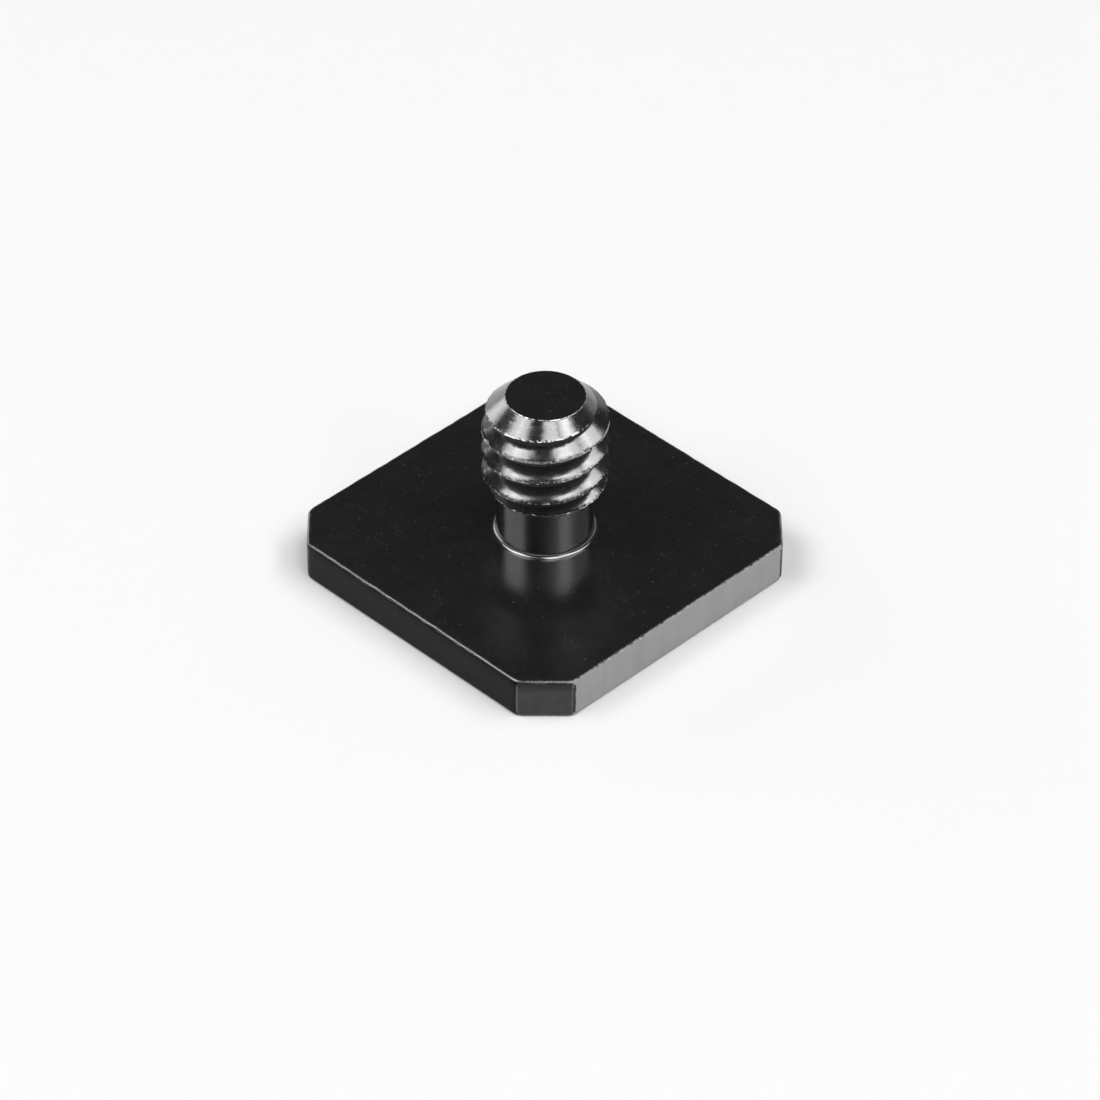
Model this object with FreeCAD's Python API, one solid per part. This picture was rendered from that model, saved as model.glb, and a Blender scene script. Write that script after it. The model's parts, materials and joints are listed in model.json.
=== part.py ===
import FreeCAD, Part
import math
import os

# Flash shoe adapter: a square foot plate with cut corners that slides into an
# accessory shoe, and a 1/4-20 UNC threaded stud that stands on its middle.
# Plate and stud are machined from one bar of aluminium, so they are one solid.
# Frame: origin under the middle of the plate, +Z up along the stud,
# +Y the way the plate slides into a shoe. Lengths in millimetres, angles in degrees.

# Foot plate
PLATE_WIDTH = 18.6       # across the rails of the shoe, along X
PLATE_LENGTH = 18.6      # along the way it slides, along Y
PLATE_THICKNESS = 2.2
CORNER_CUT = 1.95        # each leg of the cut on the four corners
CORNER_ROUND = 0.7       # rounding of the upright edges
EDGE_ROUND = 0.2         # rounding round the top and the underside

# Stud
NECK_HEIGHT = 2.55       # plain neck, which clears the rails of the shoe
NECK_RELIEF = 0.02       # the neck's radius is this much less than the thread's root
BASE_FILLET = 0.25       # where the neck meets the plate
THREAD_LENGTH = 5.7      # from the neck to the flat end, with the slopes at both ends
TIP_CHAMFER = 1.16       # how far the chamfer goes in from the crests to the flat end
TIP_SLOPE = 45.0         # tip chamfer, from the axis
RUN_OUT_SLOPE = 45.0     # lower end of the thread, from the axis

# Thread, right-handed
THREAD_DIAMETER = 6.27   # over the crests
THREAD_PITCH = 1.27      # 20 turns to the inch
THREAD_ANGLE = 60.0      # between the two flanks
CREST_SHARE = 1 / 8      # flat crest, as a share of the pitch
ROOT_SHARE = 1 / 4       # flat root, as a share of the pitch
THREAD_CLOCK = -10.0     # from +X to where the groove would meet the plate's top

# Worked out from the sizes above
crest_flat = THREAD_PITCH * CREST_SHARE
root_flat = THREAD_PITCH * ROOT_SHARE
flank_run = math.tan(math.radians(THREAD_ANGLE / 2))
thread_depth = (THREAD_PITCH - crest_flat - root_flat) / 2 / flank_run
crest_radius = THREAD_DIAMETER / 2
root_radius = crest_radius - thread_depth
neck_radius = root_radius - NECK_RELIEF
neck_top = PLATE_THICKNESS + NECK_HEIGHT
stud_top = neck_top + THREAD_LENGTH

FULL_TURN = 360.0
SAME_SIZE = 1e-6
AXIS_FOOT = FreeCAD.Vector(0, 0, 0)
AXIS_UP = FreeCAD.Vector(0, 0, 1)


def section_loop(points):
    """Closed outline in the XZ plane, from (radius, height) pairs."""
    corners = [FreeCAD.Vector(radius, 0, height) for radius, height in points]
    return Part.makePolygon(corners + corners[:1])


def slope_height(run, slope):
    """Height of a cone whose radius changes by run, at a slope from the axis."""
    return run / math.tan(math.radians(slope))


def upright_edges(shape):
    return [edge for edge in shape.Edges if edge.BoundBox.ZLength > PLATE_THICKNESS / 2]


def level_edges(shape):
    return [edge for edge in shape.Edges if edge.BoundBox.ZLength < PLATE_THICKNESS / 2]


def foot_plate():
    """Flat plate with its corners cut off and every edge rounded."""
    low_corner = FreeCAD.Vector(-PLATE_WIDTH / 2, -PLATE_LENGTH / 2, 0)
    plate = Part.makeBox(PLATE_WIDTH, PLATE_LENGTH, PLATE_THICKNESS, low_corner)
    plate = plate.makeChamfer(CORNER_CUT, upright_edges(plate))
    plate = plate.makeFillet(CORNER_ROUND, upright_edges(plate))
    return plate.makeFillet(EDGE_ROUND, level_edges(plate))


def stud_blank():
    """Neck, shank and chamfered tip before threading, turned from one half section."""
    inside_plate = PLATE_THICKNESS / 2
    tip_radius = crest_radius - TIP_CHAMFER
    shank_bottom = neck_top + slope_height(crest_radius - neck_radius, RUN_OUT_SLOPE)
    shank_top = stud_top - slope_height(TIP_CHAMFER, TIP_SLOPE)
    outline = section_loop([
        (0, inside_plate),
        (neck_radius, inside_plate),
        (neck_radius, neck_top),
        (crest_radius, shank_bottom),
        (crest_radius, shank_top),
        (tip_radius, stud_top),
        (0, stud_top),
    ])
    return Part.Face(outline).revolve(AXIS_FOOT, AXIS_UP, FULL_TURN)


def thread_groove():
    """The space between two turns of the thread, swept up a helix.

    It starts in the open beside the neck and ends above the tip, so the thread
    fades out through the slopes at its two ends. It stands a little way out of
    the crests, where its own turns stay half a crest apart.
    """
    root_half = root_flat / 2
    outer_half = (THREAD_PITCH - crest_flat / 2) / 2
    outer_radius = root_radius + (outer_half - root_half) / flank_run
    profile = section_loop([
        (root_radius, -root_half),
        (outer_radius, -outer_half),
        (outer_radius, outer_half),
        (root_radius, root_half),
    ])
    start = neck_top - outer_half
    rise = stud_top + outer_half - start
    taper = 0.0
    helix = Part.makeLongHelix(THREAD_PITCH, rise, root_radius, taper)
    make_solid = True
    follow_helix = True
    groove = Part.Wire(helix.Edges).makePipeShell([profile], make_solid, follow_helix)
    clock = THREAD_CLOCK + FULL_TURN * (start - PLATE_THICKNESS) / THREAD_PITCH
    groove.rotate(AXIS_FOOT, AXIS_UP, clock)
    groove.translate(AXIS_UP * start)
    return groove


def is_neck_corner(edge):
    """True for the circle where the neck stands on the plate."""
    if not isinstance(edge.Curve, Part.Circle):
        return False
    right_size = math.isclose(edge.Curve.Radius, neck_radius, abs_tol=SAME_SIZE)
    return right_size and math.isclose(edge.Curve.Center.z, PLATE_THICKNESS, abs_tol=SAME_SIZE)


def adapter_body():
    """Plate and stud in one piece, with the thread cut into the stud."""
    body = foot_plate().fuse(stud_blank()).removeSplitter()
    body = body.makeFillet(BASE_FILLET, [edge for edge in body.Edges if is_neck_corner(edge)])
    return body.cut(thread_groove())


def main():
    os.makedirs("parts", exist_ok=True)
    body = adapter_body()
    print("solids", len(body.Solids), "valid", body.isValid(), "volume", round(body.Volume, 2))
    body.Solids[0].exportStep("parts/adapter_body.step")


main()
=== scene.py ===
import json
import math
import bpy
from mathutils import Matrix, Quaternion, Vector, noise


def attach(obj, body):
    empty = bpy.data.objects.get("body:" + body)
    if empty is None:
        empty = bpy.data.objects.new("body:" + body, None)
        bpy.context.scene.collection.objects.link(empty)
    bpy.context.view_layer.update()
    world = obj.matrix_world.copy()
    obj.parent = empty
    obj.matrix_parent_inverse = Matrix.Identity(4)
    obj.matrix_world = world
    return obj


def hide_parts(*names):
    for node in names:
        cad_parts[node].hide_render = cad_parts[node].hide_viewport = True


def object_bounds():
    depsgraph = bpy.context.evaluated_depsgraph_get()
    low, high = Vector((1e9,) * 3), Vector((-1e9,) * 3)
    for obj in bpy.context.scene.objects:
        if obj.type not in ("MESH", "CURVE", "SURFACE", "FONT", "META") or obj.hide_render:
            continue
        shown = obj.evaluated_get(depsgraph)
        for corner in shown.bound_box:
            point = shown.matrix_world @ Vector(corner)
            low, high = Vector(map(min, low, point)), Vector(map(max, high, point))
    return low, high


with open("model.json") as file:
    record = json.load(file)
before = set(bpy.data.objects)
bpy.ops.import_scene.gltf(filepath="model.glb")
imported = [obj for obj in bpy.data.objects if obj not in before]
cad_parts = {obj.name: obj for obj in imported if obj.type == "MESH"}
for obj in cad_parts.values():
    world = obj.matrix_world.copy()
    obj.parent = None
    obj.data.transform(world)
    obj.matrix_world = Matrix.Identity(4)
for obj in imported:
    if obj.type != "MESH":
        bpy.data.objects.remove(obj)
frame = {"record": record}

# Flash shoe adapter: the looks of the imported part, in the part's frame and in metres.
# One fine mesh stands for the whole adapter. It is built from closed rings, from the
# middle of the underside over the plate and up the stud to the middle of its end.

MM = 0.001
cad_low, cad_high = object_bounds()
mounts = {mount["name"]: mount for mount in frame["record"]["mounts"]}

# Foot plate
HALF_WIDTH = (cad_high.x - cad_low.x) / 2
HALF_LENGTH = (cad_high.y - cad_low.y) / 2
PLATE_TOP = 2 * mounts["shoe_foot"]["pos_m"][2]   # that mount lies at half the thickness
CORNER_CUT = 1.95 * MM
CORNER_ROUND = 0.7 * MM
CORNER_TURN = math.pi / 4                         # from a side to the cut beside it
HALF_CORNER = CORNER_TURN / 2
EDGE_ROUND = 0.2 * MM

# Stud
STUD_TOP = cad_high.z
NECK_TOP = mounts["stud_thread"]["pos_m"][2]
CREST_RADIUS = mounts["stud_thread"]["dims"]["r_mm"] * MM
NECK_RELIEF = 0.02 * MM
BASE_FILLET = 0.25 * MM
TIP_CHAMFER = 1.16 * MM
TIP_RADIUS = CREST_RADIUS - TIP_CHAMFER
RIM_HEIGHT = STUD_TOP - TIP_CHAMFER
END_ROUND = 0.05 * MM

# Thread, right-handed, with both ends sloped at 45 degrees
PITCH = 1.27 * MM
CREST_SHARE = 1 / 8
ROOT_SHARE = 1 / 4
FLANK_RUN = math.tan(math.radians(30))
THREAD_CLOCK = math.radians(-10)
THREAD_DEPTH = PITCH * (1 - CREST_SHARE - ROOT_SHARE) / 2 / FLANK_RUN
ROOT_RADIUS = CREST_RADIUS - THREAD_DEPTH
NECK_RADIUS = ROOT_RADIUS - NECK_RELIEF
THREAD_LOW = NECK_TOP
THREAD_HIGH = STUD_TOP - 2 * END_ROUND

# Wear and unevenness; waves of noise are counted per millimetre
PLATE_WEAR = 1.0             # wear mark on the plate's rounded edges
EDGE_WEAR = 1.35             # and on the stud's sharp ones
UPRIGHT_FOCUS = 4            # how closely wear keeps to the middle of an upright edge
UPRIGHT_SKIN = 2             # how much the milled mark, which shows the ends' painted reflection, falls there
EDGE_DENT = 0.035 * MM
DENT_WAVES = 1.7
CREST_REACH = 0.08 * MM      # how far wear goes from the crests
EDGE_REACH = 0.16 * MM       # how far it goes from the edges of the slopes
EDGE_FADE = 3                # edges are whole from a third of the way up the flank
NICK_DEPTH = 0.1 * MM
NICK_WAVES = 6
NICK_START = 0.1             # only higher noise makes a nick
PATCH_WAVES = 0.9
PATCH_LIFT = 0.35            # the higher, the more of the crests have nicks
BURR_DEPTH = 0.06 * MM
BURR_WAVES = 9

# How finely the mesh is divided; a quarter turn goes from one side's middle to the next
SIDE_STEPS = 32
ROUND_STEPS = 6
CUT_STEPS = 4
QUARTER_STEPS = 2 * SIDE_STEPS + 2 * ROUND_STEPS + CUT_STEPS
COLUMNS = 4 * QUARTER_STEPS
FILLET_STEPS = 6
UNDERSIDE_RINGS = 3
SIDE_RINGS = 5
TOP_RINGS = 6
NECK_RINGS = 4
END_RINGS = (0.95, 0.6, 0.2)   # as shares of the flat end's radius
ROOT_ROWS = 6
FLANK_ROWS = 15
CREST_ROWS = 5
ROW_MARGIN = 0.01 * MM         # rows of the thread keep this far from the closed rings
FLAT_MARGIN = 0.03 * MM        # a flat's first ring is this far from the rounding beside it
CREASE = math.radians(35)      # edges that bend more than this are shaded as sharp

# Places in the mesh's list of materials, and where one ends and another starts
GLOSS = 0
PLATE = 1
SIDE = 2
CUT = 3
END = 4
EDGE = 5
GROOVE = 6
LEVEL_LIMIT = 0.02           # flats lean by less than this
GROOVE_LIMIT = 0.3           # faces of the groove that look up by less than this get the painted shade
EDGE_BAND = 0.1 * MM         # how far the edge's finish goes from the top and the underside

vertices = []
faces = []
wear_marks = []
# share of the ends' grey painted reflection at each point
milled_reflection_marks = []


# Mesh building

def add_vertex(point, wear=0.0, milled_reflection=0.0):
    vertices.append(point)
    wear_marks.append(wear)
    milled_reflection_marks.append(milled_reflection)
    return len(vertices) - 1


def add_ring(points, wear=0.0, milled_reflection=0.0):
    return [add_vertex(point, wear, milled_reflection) for point in points]


def column_angle(column):
    return 2 * math.pi * column / COLUMNS


def even_shares(count):
    """This many shares, evenly from 0 to 1."""
    return [step / (count - 1) for step in range(count)]


def quarter_angles():
    """Angles of the rings in one rounded edge or fillet."""
    return [math.pi / 2 * share for share in even_shares(FILLET_STEPS + 1)]


def circle(radius, height):
    angles = [column_angle(column) for column in range(COLUMNS)]
    return [(radius * math.cos(angle), radius * math.sin(angle), height) for angle in angles]


def steps_between(start, end, count):
    """Points from start up to but not including end."""
    return [start.lerp(end, step / count) for step in range(count)]


def mixed_loop(first, second, share):
    """Loop this share of the way from the first to the second."""
    return [Vector(a).lerp(Vector(b), share) for a, b in zip(first, second)]


def bridge(lower, upper):
    for column in range(COLUMNS):
        after = (column + 1) % COLUMNS
        faces.append((lower[column], lower[after], upper[after], upper[column]))


def bridge_all(rings):
    for lower, upper in zip(rings, rings[1:]):
        bridge(lower, upper)


def close_ring(ring, middle_height, upward):
    middle = add_vertex((0, 0, middle_height))
    for column in range(COLUMNS):
        after = (column + 1) % COLUMNS
        pair = (ring[column], ring[after]) if upward else (ring[after], ring[column])
        faces.append((*pair, middle))


# Plate

def plate_corner(centre, radius, first_angle):
    """Points of one rounded upright edge."""
    angles = [first_angle + CORNER_TURN * share for share in even_shares(ROUND_STEPS + 1)]
    return [centre + Vector((math.cos(angle), math.sin(angle))) * radius for angle in angles]


def plate_quarter(inset):
    """Outline of the plate from the middle of its +X side to the middle of its +Y side."""
    radius = CORNER_ROUND - inset
    along = CORNER_CUT + CORNER_ROUND * math.tan(HALF_CORNER)
    first = Vector((HALF_WIDTH - CORNER_ROUND, HALF_LENGTH - along))
    second = Vector((HALF_WIDTH - along, HALF_LENGTH - CORNER_ROUND))
    first_arc = plate_corner(first, radius, 0)
    second_arc = plate_corner(second, radius, CORNER_TURN)
    points = steps_between(Vector((HALF_WIDTH - inset, 0)), first_arc[0], SIDE_STEPS)
    points += first_arc[:-1]
    points += steps_between(first_arc[-1], second_arc[0], CUT_STEPS)
    points += second_arc[:-1]
    points += steps_between(second_arc[-1], Vector((0, HALF_LENGTH - inset)), SIDE_STEPS)
    return points


def plate_outline(inset, height):
    """Closed loop round the plate, this far inside its sides."""
    quarter = plate_quarter(inset)
    loop = []
    for turn in range(4):
        rotation = Matrix.Rotation(turn * math.pi / 2, 2)
        loop += [(*(rotation @ point), height) for point in quarter]
    return loop


def uneven(points, depth):
    """The same points, moved in or out by up to this depth."""
    moved = []
    for point in points:
        place = Vector(point)
        dent = depth * noise.noise(place / MM * DENT_WAVES)
        inward = Vector((-place.x, -place.y, 0)).normalized()
        moved.append(place + inward * dent)
    return moved


def upright_wear():
    """Wear mark of each column on the plate's sides: the rounded upright edges."""
    arc = [math.sin(math.pi * step / ROUND_STEPS) ** UPRIGHT_FOCUS for step in range(ROUND_STEPS)]
    side = [0] * SIDE_STEPS
    cut = [0] * CUT_STEPS
    return 4 * (side + arc + cut + arc + side)


def underside_rings():
    """Flat underside, from a small middle ring out to its rounded edge."""
    middle = circle(NECK_RADIUS, 0)
    edge = plate_outline(EDGE_ROUND + FLAT_MARGIN, 0)
    return [add_ring(mixed_loop(middle, edge, share)) for share in even_shares(UNDERSIDE_RINGS)]


def side_rings():
    """Rounded lower edge, upright side and rounded upper edge of the plate."""
    rings = []
    # The milled mark sets where the ends show their painted reflection; it fades out over the rounded
    # edges and the upright edges
    for angle in quarter_angles():
        inset = EDGE_ROUND * (1 - math.sin(angle))
        height = EDGE_ROUND * (1 - math.cos(angle))
        wear = PLATE_WEAR * math.sin(2 * angle)
        rings.append(add_ring(plate_outline(inset, height), wear, math.sin(angle)))
    low = EDGE_ROUND + FLAT_MARGIN
    high = PLATE_TOP - low
    corner_wear = upright_wear()
    for share in even_shares(SIDE_RINGS):
        outline = plate_outline(0, low + (high - low) * share)
        marked = zip(outline, corner_wear)
        rings.append([add_vertex(point, wear, 1 - UPRIGHT_SKIN * wear) for point, wear in marked])
    for angle in quarter_angles():
        inset = EDGE_ROUND * (1 - math.cos(angle))
        height = PLATE_TOP - EDGE_ROUND * (1 - math.sin(angle))
        breadth = math.sin(2 * angle)
        outline = uneven(plate_outline(inset, height), EDGE_DENT * breadth)
        rings.append(add_ring(outline, PLATE_WEAR * breadth, math.cos(angle)))
    return rings


def top_rings():
    """Flat top, from the rounded edge in to the fillet round the neck."""
    edge = plate_outline(EDGE_ROUND + FLAT_MARGIN, PLATE_TOP)
    middle = circle(NECK_RADIUS + BASE_FILLET + FLAT_MARGIN, PLATE_TOP)
    return [add_ring(mixed_loop(edge, middle, share)) for share in even_shares(TOP_RINGS)]


# Stud

def neck_rings():
    """Fillet at the foot of the stud, and the plain neck."""
    rings = []
    for angle in quarter_angles():
        radius = NECK_RADIUS + BASE_FILLET * (1 - math.sin(angle))
        height = PLATE_TOP + BASE_FILLET * (1 - math.cos(angle))
        rings.append(add_ring(circle(radius, height)))
    low = PLATE_TOP + BASE_FILLET + FLAT_MARGIN
    high = NECK_TOP - FLAT_MARGIN
    for share in even_shares(NECK_RINGS):
        rings.append(add_ring(circle(NECK_RADIUS, low + (high - low) * share)))
    return rings


def groove_rows():
    """Heights of the rows in one turn, as shares of the pitch from the groove's middle."""
    root = ROOT_SHARE / 2
    crest = CREST_SHARE / 2
    spans = (
        (-root, root, ROOT_ROWS),
        (root, 0.5 - crest, FLANK_ROWS),
        (0.5 - crest, 0.5 + crest, CREST_ROWS),
        (0.5 + crest, 1 - root, FLANK_ROWS),
    )
    rows = []
    for start, end, count in spans:
        rows += [start + (end - start) * step / count for step in range(count)]
    return rows


GROOVE_ROWS = groove_rows()


def groove_share(height, foot):
    """Height above the middle of the groove, as a share of the pitch from 0 to 1."""
    return (height - foot) / PITCH % 1


def stud_radii(height, foot):
    """Radius of the thread, and of the slopes that cut it back at its two ends."""
    share = groove_share(height, foot)
    climb = (min(share, 1 - share) - ROOT_SHARE / 2) * PITCH / FLANK_RUN
    thread = ROOT_RADIUS + min(max(climb, 0), THREAD_DEPTH)
    slopes = min(NECK_RADIUS + height - NECK_TOP, CREST_RADIUS + RIM_HEIGHT - height)
    return thread, slopes


def is_sharp(height, foot):
    """True where a slope cuts a flank that leans the other way, which leaves a sharp edge."""
    flank_widens = groove_share(height, foot) < 0.5
    slope_widens = height < (NECK_TOP + STUD_TOP) / 2
    return flank_widens != slope_widens


def closeness(distance, reach):
    """1 on an edge, falling to 0 this far from it."""
    return max(0, 1 - distance / reach)


def sharp_edge(height, foot):
    """1 on a sharp edge of a slope, falling to 0 away from it and towards the root."""
    if not is_sharp(height, foot):
        return 0
    thread, slopes = stud_radii(height, foot)
    above_root = (min(thread, slopes) - ROOT_RADIUS) / THREAD_DEPTH
    return closeness(abs(thread - slopes), EDGE_REACH) * min(1, max(0, EDGE_FADE * above_root))


def crest_nick(place):
    """Small nicks that the cutting left on the crests, as a loss of radius."""
    patch = max(0, noise.noise(place * PATCH_WAVES) + PATCH_LIFT)
    chip = max(0, noise.noise(place * NICK_WAVES) - NICK_START)
    return NICK_DEPTH * patch * chip


def edge_burr(place):
    """Uneven burr where the slopes cut the thread, as a change of radius."""
    return BURR_DEPTH * noise.noise(place * BURR_WAVES)


def stud_vertex(angle, height, foot):
    """One point of the threaded part, with its edges nicked and marked as worn."""
    radius = min(stud_radii(height, foot))
    across = Vector((math.cos(angle), math.sin(angle), 0))
    up = Vector((0, 0, height))
    place = (across * radius + up) / MM
    crest = closeness(CREST_RADIUS - radius, CREST_REACH)
    edge = sharp_edge(height, foot)
    radius += edge_burr(place) * edge - crest_nick(place) * crest
    return add_vertex(across * radius + up, max(crest, EDGE_WEAR * edge))


def column_rows(foot):
    """Numbers and heights of the rows in one column of the threaded part."""
    first_turn = math.floor((THREAD_LOW - foot) / PITCH)
    last_turn = math.ceil((THREAD_HIGH - foot) / PITCH)
    rows = []
    for turn in range(first_turn, last_turn + 1):
        for place, share in enumerate(GROOVE_ROWS):
            height = foot + PITCH * (turn + share)
            if THREAD_LOW + ROW_MARGIN < height < THREAD_HIGH - ROW_MARGIN:
                rows.append((turn * len(GROOVE_ROWS) + place, height))
    return rows


def snapped_rows(rows, foot):
    """The same rows, but those next to the edge of a slope are moved on to that edge."""
    snapped = list(rows)
    for place in range(len(rows) - 1):
        (lower_row, lower), (upper_row, upper) = rows[place:place + 2]
        lower_thread, lower_slopes = stud_radii(lower, foot)
        upper_thread, upper_slopes = stud_radii(upper, foot)
        lower_gap = lower_thread - lower_slopes
        upper_gap = upper_thread - upper_slopes
        if lower_gap * upper_gap < 0:
            share = lower_gap / (lower_gap - upper_gap)
            edge = lower + (upper - lower) * share
            if share < 0.5:
                snapped[place] = (lower_row, edge)
            else:
                snapped[place + 1] = (upper_row, edge)
    return snapped


def thread_column(column, first_vertex, last_vertex):
    """Vertices of one column with the numbers of their rows, between two closed rings."""
    angle = column_angle(column)
    foot = PLATE_TOP + PITCH * (angle - THREAD_CLOCK) / (2 * math.pi)
    chain = [(-math.inf, first_vertex)]
    for row, height in snapped_rows(column_rows(foot), foot):
        chain.append((row, stud_vertex(angle, height, foot)))
    chain.append((math.inf, last_vertex))
    return chain


def next_row(chain, place):
    """Number of the row after this place in a column, if the column goes on."""
    return chain[place + 1][0] if place < len(chain) - 1 else math.inf


def zip_chains(left, right):
    """Fills the strip between two columns, row by row; rows end at the closed rings."""
    left_last = len(left) - 1
    right_last = len(right) - 1
    left_place = 0
    right_place = 0
    while left_place < left_last or right_place < right_last:
        left_row = next_row(left, left_place)
        right_row = next_row(right, right_place)
        old_left = left[left_place][1]
        corners = [right[right_place][1]]
        if right_row <= left_row and right_place < right_last:
            right_place += 1
            corners.append(right[right_place][1])
        if left_row <= right_row and left_place < left_last:
            left_place += 1
            corners.append(left[left_place][1])
        faces.append((*corners, old_left))


def thread_rings():
    """The threaded part with its sloped ends; its rows climb with the thread."""
    bottom = add_ring(circle(NECK_RADIUS, THREAD_LOW))
    top = add_ring(circle(TIP_RADIUS + 2 * END_ROUND, THREAD_HIGH))
    columns = [thread_column(column, bottom[column], top[column]) for column in range(COLUMNS)]
    next_turn = [(row - len(GROOVE_ROWS), vertex) for row, vertex in columns[0]]
    for left, right in zip(columns, columns[1:] + [next_turn]):
        zip_chains(left, right)
    return bottom, top


def end_rings():
    """Rounded rim of the tip chamfer and the flat end inside it."""
    before = Vector((TIP_RADIUS + END_ROUND, STUD_TOP - END_ROUND))
    corner = Vector((TIP_RADIUS, STUD_TOP))
    after = Vector((TIP_RADIUS - END_ROUND, STUD_TOP))
    rings = []
    for share in even_shares(FILLET_STEPS + 1):
        radius, height = before.lerp(corner, share).lerp(corner.lerp(after, share), share)
        rings.append(add_ring(circle(radius, height), EDGE_WEAR * math.sin(math.pi * share)))
    for share in END_RINGS:
        rings.append(add_ring(circle(after.x * share, STUD_TOP)))
    return rings


# Whole mesh

def stud_finish(polygon):
    """Gloss, but inside the groove what does not face up gets a duller black with painted shade."""
    radius = math.hypot(polygon.center.x, polygon.center.y)
    in_groove = polygon.center.z > NECK_TOP and radius < CREST_RADIUS - CREST_REACH
    return GROOVE if in_groove and polygon.normal.z < GROOVE_LIMIT else GLOSS


def finish_of(polygon):
    """Which of the mesh's materials a face has, from where it is and the way it faces."""
    level = math.hypot(polygon.normal.x, polygon.normal.y)
    along = abs(polygon.normal.y)
    height = polygon.center.z
    if level < LEVEL_LIMIT:
        return PLATE
    if height > PLATE_TOP:
        return stud_finish(polygon)
    if along > level * math.cos(HALF_CORNER):
        return END
    if min(height, PLATE_TOP - height) < EDGE_BAND:
        return EDGE
    return SIDE if along < level * math.sin(HALF_CORNER) else CUT


def adapter_mesh():
    """The whole adapter as one closed mesh, with its marks and its faces' finishes."""
    lower = underside_rings() + side_rings() + top_rings() + neck_rings()
    thread_bottom, thread_top = thread_rings()
    upper = end_rings()
    bridge_all(lower + [thread_bottom])
    bridge_all([thread_top] + upper)
    close_ring(lower[0], 0, upward=False)
    close_ring(upper[-1], STUD_TOP, upward=True)
    mesh = bpy.data.meshes.new("shoe_adapter")
    mesh.from_pydata(vertices, [], faces)
    mesh.attributes.new("wear", "FLOAT", "POINT").data.foreach_set("value", wear_marks)
    mesh.attributes.new("milled_reflection", "FLOAT", "POINT").data.foreach_set("value", milled_reflection_marks)
    mesh.shade_smooth()
    mesh.set_sharp_from_angle(angle=CREASE)
    mesh.update()
    for polygon in mesh.polygons:
        polygon.material_index = finish_of(polygon)
    return mesh


# Materials; tones go from 0 for black to 1 for white, and a ramp climbs between its limits

GRAIN_LIMITS = (0.3, 0.7)   # most of a grain lies between these

# Glossy black and worn edges
CHIP_SIZE = 0.14 * MM
CHIP_LIMITS = (0.58, 0.64)
HAIR_SIZE = 0.06 * MM
HAIR_STRETCH = 0.04
HAIR_LIMITS = (0.71, 0.78)
HAIR_TONE = 0.022
BLACK_TONES = (0.006, 0.010)
CLOUD_SIZE = 1.5 * MM
DUST_SIZE = 0.14 * MM
DUST_LIMITS = (0.725, 0.765)
FINE_SIZE = 0.3 * MM
FINE_RELIEF = 1.6
TURNED_SIZE = 0.09 * MM
TURNED_STRETCH = 0.15
TORN_SIZE = 0.2 * MM
TORN_RELIEF = 5
WORN_ROUGHNESS = 0.28

# Dull black, with a painted shade from just under the plate's top upwards
SIDE_CLOUD_SIZE = 0.5 * MM
SIDE_CLOUD_SPREAD = 0.2
# painted shade: the dull black darkens from just under the plate's top upwards
SHADE_START = PLATE_TOP - 0.7 * MM
SHADE_END = PLATE_TOP - 0.25 * MM
SHADE_LEVELS = (1.1, 0.1)
RUB_SIZE = 0.4 * MM
RUB_STRETCH = 0.3
RUB_LIMITS = (0.35, 0.6)
RUB_TONE = 0.12
DULL_SIZE = 0.2 * MM
DULL_ROUGHNESS = (0.3, 0.42)
STREAK_SIZE = 0.12 * MM
STREAK_STRETCH = 0.08
STREAK_DEPTH = 0.0015 * MM

# Milled ends: their grey is a painted reflection of the pale floor, and their cutter marks are real
CUTTER_SIZE = 0.35 * MM
CUTTER_STRETCH = 0.05
SMEAR_SIZE = 1.2 * MM
MILLED_LIMITS = (0.6, 1.4)
# grey tones of the ends: a painted reflection of the pale floor, varied by real cutter marks
MILLED_REFLECTION_TONES = (0.285, 0.325)
MILLED_ROUGHNESS = 0.45
MILLED_IOR = 1.4
NOTCH_SIZE = 0.18 * MM
NOTCH_WEIGHT = 1.2
NOTCH_LIMITS = (0.95, 1.3)
NOTCH_TONE = 0.008
BARE_TONE = 0.6
SCORE_SIZE = 0.08 * MM
SCORE_STRETCH = 0.1
SCORE_DEPTH = 0.0015 * MM

# Floor
FLOOR_TONE = 0.9
FLOOR_ROUGHNESS = 0.9


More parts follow.
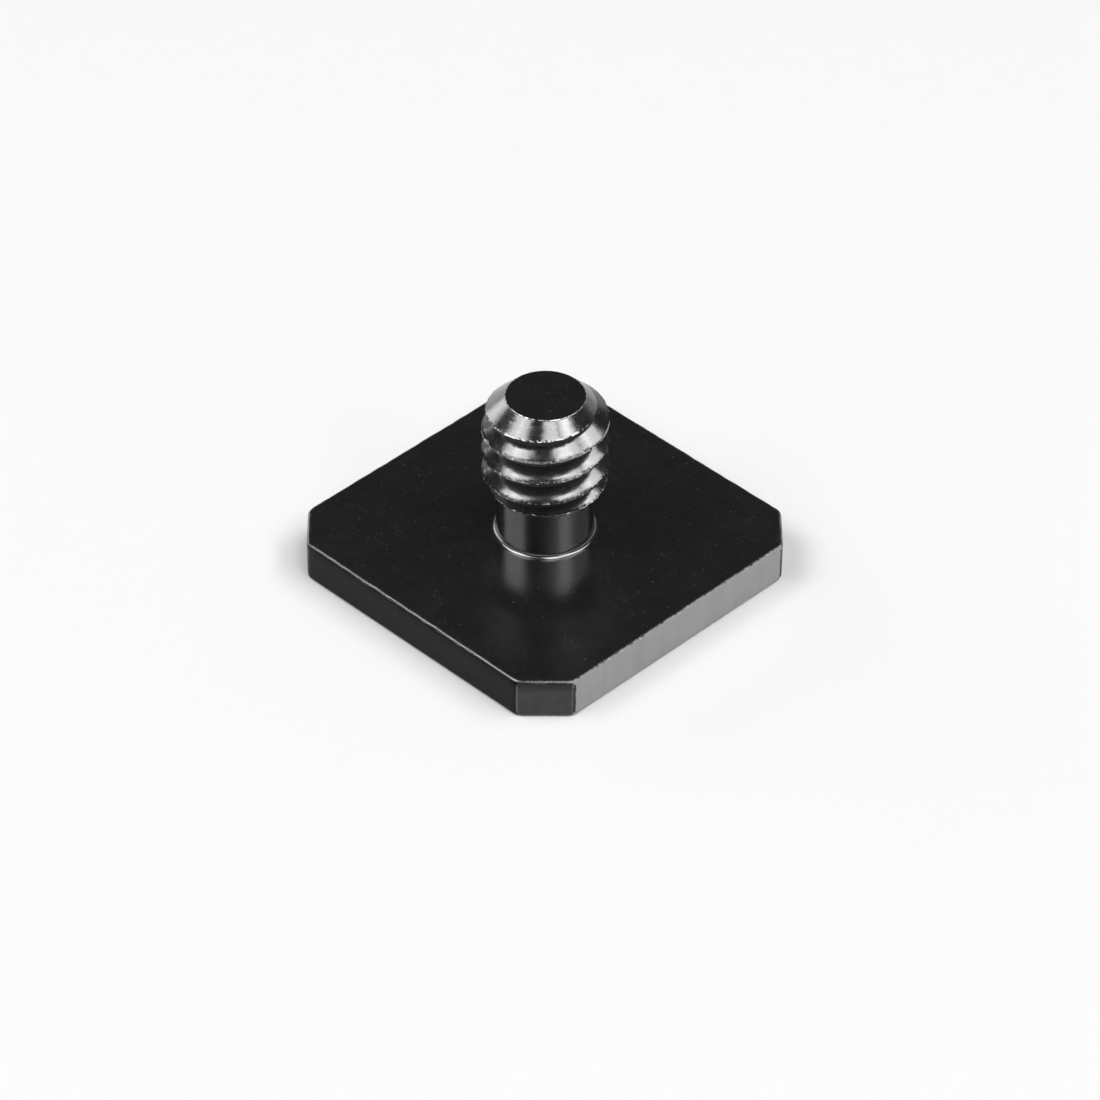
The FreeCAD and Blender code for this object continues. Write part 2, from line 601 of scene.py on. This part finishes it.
class Nodes:
    """Short ways to add shader nodes to one material, whose shader is the Principled one."""

    def __init__(self, name):
        self.material = bpy.data.materials.new(name)
        self.material.use_nodes = True
        self.tree = self.material.node_tree
        self.shader = self.tree.nodes["Principled BSDF"]

    def feed(self, socket, value):
        """Gives a socket a plain value or another node's output."""
        if isinstance(value, bpy.types.NodeSocket):
            self.tree.links.new(value, socket)
        else:
            socket.default_value = value

    def feed_all(self, node, inputs):
        for name, value in inputs.items():
            self.feed(node.inputs[name.replace("_", " ")], value)

    def new(self, kind, **inputs):
        node = self.tree.nodes.new(kind)
        self.feed_all(node, inputs)
        return node

    def finish(self, **inputs):
        """The material, once its shader has these inputs."""
        self.feed_all(self.shader, inputs)
        return self.material

    def mark(self, name):
        """Mark that the mesh carries on its points."""
        node = self.new("ShaderNodeAttribute")
        node.attribute_name = name
        return node.outputs["Fac"]

    def place(self, stretch=(1, 1, 1)):
        """Place on the object in metres, with each axis stretched."""
        coordinates = self.new("ShaderNodeTexCoord")
        mapping = self.new("ShaderNodeMapping", Vector=coordinates.outputs["Object"], Scale=stretch)
        return mapping.outputs["Vector"]

    def height(self):
        """Height on the object, in metres."""
        return self.new("ShaderNodeSeparateXYZ", Vector=self.place()).outputs["Z"]

    def grain(self, size, detail=2.0, stretch=(1, 1, 1)):
        """Noise from 0 to 1 whose blotches are about this size."""
        node = self.new("ShaderNodeTexNoise", Vector=self.place(stretch), Scale=1 / size, Detail=detail)
        return node.outputs["Fac"]

    def ramp(self, value, limits, results):
        """Value that goes from one result to the other between the limits of the input."""
        node = self.new(
            "ShaderNodeMapRange",
            Value=value,
            From_Min=limits[0],
            From_Max=limits[1],
            To_Min=results[0],
            To_Max=results[1],
        )
        return node.outputs["Result"]

    def blend(self, share, first, second):
        """Value between two others."""
        return self.ramp(share, (0, 1), (first, second))

    def vary(self, size, results, detail=2.0):
        """Value that wanders between two results, in blotches of about this size."""
        return self.ramp(self.grain(size, detail), GRAIN_LIMITS, results)

    def join(self, operation, first, second):
        """Two values joined by one of the Math node's operations."""
        node = self.new("ShaderNodeMath")
        node.operation = operation
        self.feed(node.inputs[0], first)
        self.feed(node.inputs[1], second)
        return node.outputs["Value"]

    def times(self, first, second):
        return self.join("MULTIPLY", first, second)

    def plus(self, first, second):
        return self.join("ADD", first, second)

    def bump(self, height, depth):
        return self.new("ShaderNodeBump", Height=height, Distance=depth, Strength=1.0).outputs["Normal"]


def worn_share(nodes):
    """Where edges have lost their black skin: broken up along the mesh's wear mark."""
    chips = nodes.times(nodes.grain(CHIP_SIZE, detail=3.0), nodes.mark("wear"))
    return nodes.ramp(chips, CHIP_LIMITS, (0, 1))


def scratches(nodes):
    """Few faint hairlines, some along the plate and some across it."""
    along = nodes.grain(HAIR_SIZE, detail=1.0, stretch=(1, HAIR_STRETCH, 1))
    across = nodes.grain(HAIR_SIZE, detail=1.0, stretch=(HAIR_STRETCH, 1, 1))
    return nodes.ramp(nodes.join("MAXIMUM", along, across), HAIR_LIMITS, (0, HAIR_TONE))


def gloss_relief(nodes):
    """Turning marks, a fine unevenness, and torn metal on worn edges."""
    turned = nodes.grain(TURNED_SIZE, stretch=(TURNED_STRETCH, TURNED_STRETCH, 1))
    fine = nodes.times(nodes.grain(FINE_SIZE, detail=4.0), FINE_RELIEF)
    torn = nodes.times(nodes.grain(TORN_SIZE), nodes.mark("wear"))
    return nodes.plus(nodes.plus(turned, fine), nodes.times(torn, TORN_RELIEF))


def gloss_black(name, ior, roughness, relief_depth, dust_tone, worn_tone):
    """Smooth black anodised finish of the stud, the plate's flats and its rounded edges."""
    nodes = Nodes(name)
    worn = worn_share(nodes)
    cloud = nodes.vary(CLOUD_SIZE, BLACK_TONES)
    dust = nodes.ramp(nodes.grain(DUST_SIZE, detail=1.0), DUST_LIMITS, (0, dust_tone))
    skin = nodes.plus(nodes.plus(cloud, dust), scratches(nodes))
    gloss = nodes.vary(FINE_SIZE, roughness, detail=4.0)
    return nodes.finish(
        Base_Color=nodes.blend(worn, skin, worn_tone),
        Metallic=worn,
        Roughness=nodes.blend(worn, gloss, WORN_ROUGHNESS),
        IOR=ior,
        Normal=nodes.bump(gloss_relief(nodes), relief_depth),
    )


def side_black(name, tone, ior):
    """Duller black of the long sides, the cut corners and the groove.

    A painted shade makes it darker from just under the plate's top upwards.
    """
    nodes = Nodes(name)
    tones = (tone * (1 - SIDE_CLOUD_SPREAD), tone * (1 + SIDE_CLOUD_SPREAD))
    # painted shade by height; the groove, above the plate, gets its darkest level
    shade = nodes.ramp(nodes.height(), (SHADE_START, SHADE_END), SHADE_LEVELS)
    skin = nodes.times(nodes.vary(SIDE_CLOUD_SIZE, tones, detail=4.0), shade)
    rub = nodes.times(nodes.mark("wear"), nodes.grain(RUB_SIZE, stretch=(1, 1, RUB_STRETCH)))
    streaks = nodes.grain(STREAK_SIZE, detail=3.0, stretch=(1, 1, STREAK_STRETCH))
    return nodes.finish(
        Base_Color=nodes.blend(nodes.ramp(rub, RUB_LIMITS, (0, 1)), skin, RUB_TONE),
        Roughness=nodes.vary(DULL_SIZE, DULL_ROUGHNESS, detail=3.0),
        IOR=ior,
        Normal=nodes.bump(streaks, STREAK_DEPTH),
    )


def milled_end_painted_reflection(name):
    """Milled ends of the plate, with upright cutter marks and ragged edges; their grey is a painted
    reflection of the pale floor.
    """
    nodes = Nodes(name)
    cutter = nodes.grain(CUTTER_SIZE, detail=4.0, stretch=(1, 1, CUTTER_STRETCH))
    smears = nodes.grain(SMEAR_SIZE, detail=3.0)
    # painted reflection: the ends' grey, broken up by cutter marks and smears
    tone = nodes.ramp(nodes.plus(cutter, smears), MILLED_LIMITS, MILLED_REFLECTION_TONES)
    notches = nodes.times(nodes.grain(NOTCH_SIZE, detail=3.0), NOTCH_WEIGHT)
    # the painted reflection gives way to black at the edges and at the notches
    milled_reflection = nodes.ramp(nodes.plus(nodes.mark("milled_reflection"), notches), NOTCH_LIMITS, (0, 1))
    scores = nodes.grain(SCORE_SIZE, stretch=(1, 1, SCORE_STRETCH))
    return nodes.finish(
        Base_Color=nodes.blend(worn_share(nodes), nodes.blend(milled_reflection, NOTCH_TONE, tone), BARE_TONE),
        Roughness=MILLED_ROUGHNESS,
        IOR=MILLED_IOR,
        Normal=nodes.bump(scores, SCORE_DEPTH),
    )


def pale_floor():
    nodes = Nodes("pale_floor")
    return nodes.finish(
        Base_Color=(FLOOR_TONE, FLOOR_TONE, FLOOR_TONE, 1),
        Roughness=FLOOR_ROUGHNESS,
    )


def add_finishes(mesh):
    """The mesh's materials, each at its place in the list."""
    finishes = {
        GLOSS: gloss_black(
            "anodised_stud",
            ior=2.8,
            roughness=(0.12, 0.2),
            relief_depth=0.003 * MM,
            dust_tone=0.1,
            worn_tone=0.8,
        ),
        PLATE: gloss_black(
            "anodised_plate",
            ior=2.1,
            roughness=(0.205, 0.225),
            relief_depth=0.0003 * MM,
            dust_tone=0.05,
            worn_tone=0.8,
        ),
        SIDE: side_black("anodised_side_painted_shade", tone=0.006, ior=1.2),
        # cut corners: a lighter black that is painted light, standing in for the light they catch
        CUT: side_black("cut_painted_light", tone=0.028, ior=1.4),
        # ends: a grey painted reflection of the pale floor over the anodised black
        END: milled_end_painted_reflection("end_painted_reflection"),
        EDGE: gloss_black(
            "anodised_edge",
            ior=2.2,
            roughness=(0.2, 0.36),
            relief_depth=0.002 * MM,
            dust_tone=0.03,
            worn_tone=0.2,
        ),
        # inside the groove: a dull black darkened by the painted shade of side_black
        GROOVE: side_black("groove_painted_shade", tone=0.016, ior=1.5),
    }
    for place in sorted(finishes):
        mesh.materials.append(finishes[place])


# Stage, lights and camera; angles in degrees, azimuth 0 is towards -Y and 90 towards +X

CAMERA_AZIMUTH = -45.29
CAMERA_ELEVATION = 39.54
CAMERA_DISTANCE = 263.25 * MM
CAMERA_ROLL = 0.357
CAMERA_LENS = 173.74
SENSOR_WIDTH = 36
CLIP_START = 10 * MM
AIM_RIGHT = 0.254 * MM
AIM_UP = -1.157 * MM

LAMP_DISTANCE = 1.2
BOX_LIGHT = 2.7
CORE_LIGHT = 1.65
CORE_SHARE = 0.55
CORE_DISTANCE = 0.98 * LAMP_DISTANCE
STUDIO_LIGHT = 0.04
BACKDROP_LIGHT = 0.55
BACKDROP_LOW = 8
BACKDROP_HIGH = 22

FLOOR_HALF = 1.5
FLOOR_DROP = 0.01 * MM


def direction(azimuth, elevation):
    """Unit vector from the object."""
    turn = math.radians(azimuth)
    climb = math.radians(elevation)
    flat = math.cos(climb)
    return Vector((math.sin(turn) * flat, -math.cos(turn) * flat, math.sin(climb)))


def add_camera():
    """Camera that looks at the plate's top from the photograph's angle."""
    back = direction(CAMERA_AZIMUTH, CAMERA_ELEVATION)
    roll = math.radians(CAMERA_ROLL)
    level_right = Vector((0, 0, 1)).cross(back).normalized()
    level_up = back.cross(level_right)
    right = level_right * math.cos(roll) + level_up * math.sin(roll)
    up = back.cross(right)
    aim = Vector((0, 0, PLATE_TOP)) + right * AIM_RIGHT + up * AIM_UP
    turned = Matrix((right, up, back)).transposed().to_4x4()
    data = bpy.data.cameras.new("camera")
    data.lens = CAMERA_LENS
    data.sensor_width = SENSOR_WIDTH
    data.clip_start = CLIP_START
    camera = bpy.data.objects.new("camera", data)
    camera.matrix_world = Matrix.Translation(aim + back * CAMERA_DISTANCE) @ turned
    bpy.context.scene.collection.objects.link(camera)
    bpy.context.scene.camera = camera


def add_soft_box(name, from_camera, elevation, width, height, roll=0, level=1.0):
    """Soft light that faces the object; from_camera is its azimuth right of the camera.

    Width and height are shares of its distance. Its middle is brighter, as a real
    soft box is, so there is a smaller lamp in front of the wide one.
    """
    back = direction(CAMERA_AZIMUTH + from_camera, elevation)
    facing = (-back).to_track_quat("-Z", "Y")
    parts = (
        ("wide", 1.0, LAMP_DISTANCE, BOX_LIGHT),
        ("core", CORE_SHARE, CORE_DISTANCE, CORE_LIGHT),
    )
    for part, share, distance, radiance in parts:
        data = bpy.data.lights.new(f"{name}_{part}", "AREA")
        data.shape = "RECTANGLE"
        data.size = width * share * distance
        data.size_y = height * share * distance
        data.energy = level * radiance * math.pi * data.size * data.size_y
        light = bpy.data.objects.new(data.name, data)
        light.location = back * distance
        light.rotation_mode = "QUATERNION"
        light.rotation_quaternion = facing @ Quaternion((0, 0, 1), math.radians(roll))
        bpy.context.scene.collection.objects.link(light)


def add_lights():
    add_soft_box("left_box", from_camera=-78.5, elevation=53, width=0.84, height=0.62)
    add_soft_box("left_fill", from_camera=-122, elevation=12, width=0.8, height=0.34, level=0.5)
    add_soft_box("front_right_box", from_camera=31.6, elevation=67.3, width=0.91, height=0.42, roll=51)
    add_soft_box("right_box", from_camera=73.6, elevation=51.5, width=1.3, height=0.356, roll=15)


def add_world():
    """Dim studio that grows pale towards the horizon, as a backdrop does."""
    world = bpy.data.worlds.new("studio")
    world.use_nodes = True
    tree = world.node_tree
    background = tree.nodes["Background"]
    coordinates = tree.nodes.new("ShaderNodeTexCoord")
    split = tree.nodes.new("ShaderNodeSeparateXYZ")
    fade = tree.nodes.new("ShaderNodeMapRange")
    fade.interpolation_type = "SMOOTHSTEP"
    fade.inputs["From Min"].default_value = math.sin(math.radians(BACKDROP_LOW))
    fade.inputs["From Max"].default_value = math.sin(math.radians(BACKDROP_HIGH))
    fade.inputs["To Min"].default_value = BACKDROP_LIGHT
    fade.inputs["To Max"].default_value = STUDIO_LIGHT
    tree.links.new(coordinates.outputs["Generated"], split.inputs["Vector"])
    tree.links.new(split.outputs["Z"], fade.inputs["Value"])
    tree.links.new(fade.outputs["Result"], background.inputs["Strength"])
    background.inputs["Color"].default_value = (1, 1, 1, 1)
    bpy.context.scene.world = world


def add_floor():
    half = FLOOR_HALF
    mesh = bpy.data.meshes.new("floor")
    corners = [(-half, -half, 0), (half, -half, 0), (half, half, 0), (-half, half, 0)]
    mesh.from_pydata(corners, [], [(0, 1, 2, 3)])
    mesh.materials.append(pale_floor())
    floor = bpy.data.objects.new("floor", mesh)
    floor.location.z = -FLOOR_DROP
    bpy.context.scene.collection.objects.link(floor)


def add_adapter():
    mesh = adapter_mesh()
    add_finishes(mesh)
    adapter = bpy.data.objects.new("shoe_adapter", mesh)
    bpy.context.scene.collection.objects.link(adapter)
    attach(adapter, "root")
    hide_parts("adapter_body")


add_adapter()
add_floor()
add_world()
add_lights()
add_camera()
bpy.context.scene.view_settings.view_transform = "Standard"
